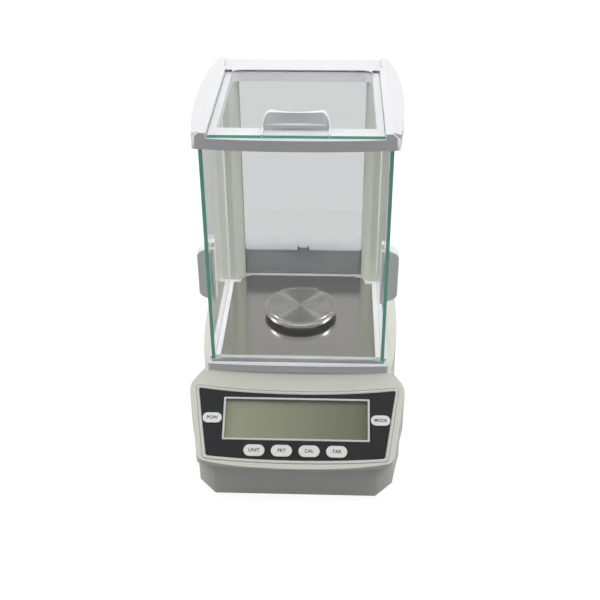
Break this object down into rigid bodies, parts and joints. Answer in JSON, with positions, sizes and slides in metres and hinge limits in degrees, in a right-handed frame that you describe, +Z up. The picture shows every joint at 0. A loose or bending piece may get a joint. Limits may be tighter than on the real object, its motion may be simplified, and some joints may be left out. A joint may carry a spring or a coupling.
{
  "type": "analytical balance",
  "caption": "Bench laboratory balance with a glass draft shield, sliding doors, a round steel pan and a sloping display console.",
  "frame": {"origin": "centre of the footprint, on the surface that the feet stand on", "axes": "+Z up, -Y towards the user (the display side), +X to the user's right"},
  "size_m": [0.2286, 0.3166, 0.3906],
  "materials": {
    "ivory_plastic": "fine matte texture",
    "grey_plastic": "fine matte texture",
    "white_plastic": "satin",
    "charcoal_overlay": "satin film",
    "silver_trim": "satin",
    "key_plastic": "satin",
    "clear_window": "polished",
    "lcd": "smooth",
    "circuit_board": "solder mask",
    "ribbon": "smooth",
    "black_plastic": "moulded",
    "brushed_steel": "brushed",
    "plated_steel": "plated",
    "cast_aluminium": "machined",
    "rubber": "matte",
    "pane_glass": "float glass with green edges",
    "grey_band": "smooth",
    "level_liquid": "clear"
  },
  "bodies": {
    "root": {"lower_housing": "grey_plastic", "upper_housing": "ivory_plastic", "front_foot_left": "rubber", "front_foot_right": "rubber", "housing_screw_1": "plated_steel", "housing_screw_2": "plated_steel", "housing_screw_3": "plated_steel", "housing_screw_4": "plated_steel", "panel_trim": "silver_trim", "display_panel": "charcoal_overlay", "lcd_frame": "silver_trim", "lcd_window": "clear_window", "lcd_module": "lcd", "key_board": "circuit_board", "main_board": "circuit_board", "display_ribbon": "ribbon", "power_lead": "black_plastic", "power_socket": "black_plastic", "serial_port": "plated_steel", "cell_base": "cast_aluminium", "cell_block": "cast_aluminium", "cell_magnet": "plated_steel", "pan_post": "brushed_steel", "pan_carrier": "cast_aluminium", "floor_plate": "brushed_steel", "shield_base": "white_plastic", "shield_screw_1": "plated_steel", "shield_screw_2": "plated_steel", "shield_screw_3": "plated_steel", "shield_screw_4": "plated_steel", "front_glass": "pane_glass", "rear_glass": "pane_glass", "rear_column_left": "ivory_plastic", "rear_column_right": "ivory_plastic", "rear_panel": "grey_band", "rear_cover": "white_plastic", "rear_glass_clip": "white_plastic", "level_body": "black_plastic", "level_vial": "level_liquid", "top_frame": "white_plastic", "top_rear_bar": "white_plastic"},
    "weighing_pan": {"weighing_pan": "brushed_steel"},
    "left_door": {"side_door_glass_left": "pane_glass", "door_handle_outer_left": "white_plastic", "door_handle_inner_left": "white_plastic"},
    "right_door": {"side_door_glass_right": "pane_glass", "door_handle_outer_right": "white_plastic", "door_handle_inner_right": "white_plastic"},
    "top_door": {"top_door_glass": "pane_glass", "top_door_handle": "white_plastic"},
    "left_levelling_pad": {"levelling_pad_left": "rubber"},
    "left_levelling_screw": {"levelling_screw_left": "black_plastic"},
    "right_levelling_pad": {"levelling_pad_right": "rubber"},
    "right_levelling_screw": {"levelling_screw_right": "black_plastic"},
    "key_power": {"key_power": "key_plastic"},
    "key_mode": {"key_mode": "key_plastic"},
    "key_unit": {"key_unit": "key_plastic"},
    "key_print": {"key_print": "key_plastic"},
    "key_calibrate": {"key_calibrate": "key_plastic"},
    "key_tare": {"key_tare": "key_plastic"}
  },
  "joints": [
    {"name": "left_door_slide", "type": "slide", "parent": "root", "child": "left_door", "axis": [0, 1, 0], "range_m": [0, 0.115]},
    {"name": "right_door_slide", "type": "slide", "parent": "root", "child": "right_door", "axis": [0, 1, 0], "range_m": [0, 0.115]},
    {"name": "top_door_slide", "type": "slide", "parent": "root", "child": "top_door", "axis": [0, 1, 0], "range_m": [0, 0.145]},
    {"name": "pan_lift", "type": "slide", "parent": "root", "child": "weighing_pan", "axis": [0, 0, 1], "range_m": [0, 0.06]},
    {"name": "key_power_press", "type": "slide", "parent": "root", "child": "key_power", "axis": [0, 0.5668, -0.8239], "range_m": [0, 0.001], "stiffness_N_per_m": 900, "springref_m": -0.0004},
    {"name": "key_mode_press", "type": "slide", "parent": "root", "child": "key_mode", "axis": [0, 0.5668, -0.8239], "range_m": [0, 0.001], "stiffness_N_per_m": 900, "springref_m": -0.0004},
    {"name": "key_unit_press", "type": "slide", "parent": "root", "child": "key_unit", "axis": [0, 0.5668, -0.8239], "range_m": [0, 0.001], "stiffness_N_per_m": 900, "springref_m": -0.0004},
    {"name": "key_print_press", "type": "slide", "parent": "root", "child": "key_print", "axis": [0, 0.5668, -0.8239], "range_m": [0, 0.001], "stiffness_N_per_m": 900, "springref_m": -0.0004},
    {"name": "key_calibrate_press", "type": "slide", "parent": "root", "child": "key_calibrate", "axis": [0, 0.5668, -0.8239], "range_m": [0, 0.001], "stiffness_N_per_m": 900, "springref_m": -0.0004},
    {"name": "key_tare_press", "type": "slide", "parent": "root", "child": "key_tare", "axis": [0, 0.5668, -0.8239], "range_m": [0, 0.001], "stiffness_N_per_m": 900, "springref_m": -0.0004},
    {"name": "left_levelling_travel", "type": "slide", "parent": "root", "child": "left_levelling_pad", "axis": [0, 0, -1], "range_m": [0, 0.006]},
    {"name": "left_levelling_turn", "type": "hinge", "parent": "left_levelling_pad", "child": "left_levelling_screw", "pos_m": [-0.068, 0.13625, 0.0045], "axis": [0, 0, 1], "range_deg": [0, 1728]},
    {"name": "right_levelling_travel", "type": "slide", "parent": "root", "child": "right_levelling_pad", "axis": [0, 0, -1], "range_m": [0, 0.006]},
    {"name": "right_levelling_turn", "type": "hinge", "parent": "right_levelling_pad", "child": "right_levelling_screw", "pos_m": [0.068, 0.13625, 0.0045], "axis": [0, 0, 1], "range_deg": [0, 1728]}
  ],
  "couplings": [
    {"joint": "left_levelling_turn", "follows": "left_levelling_travel", "rad_per_m": 5026.5},
    {"joint": "right_levelling_turn", "follows": "right_levelling_travel", "rad_per_m": 5026.5}
  ]
}
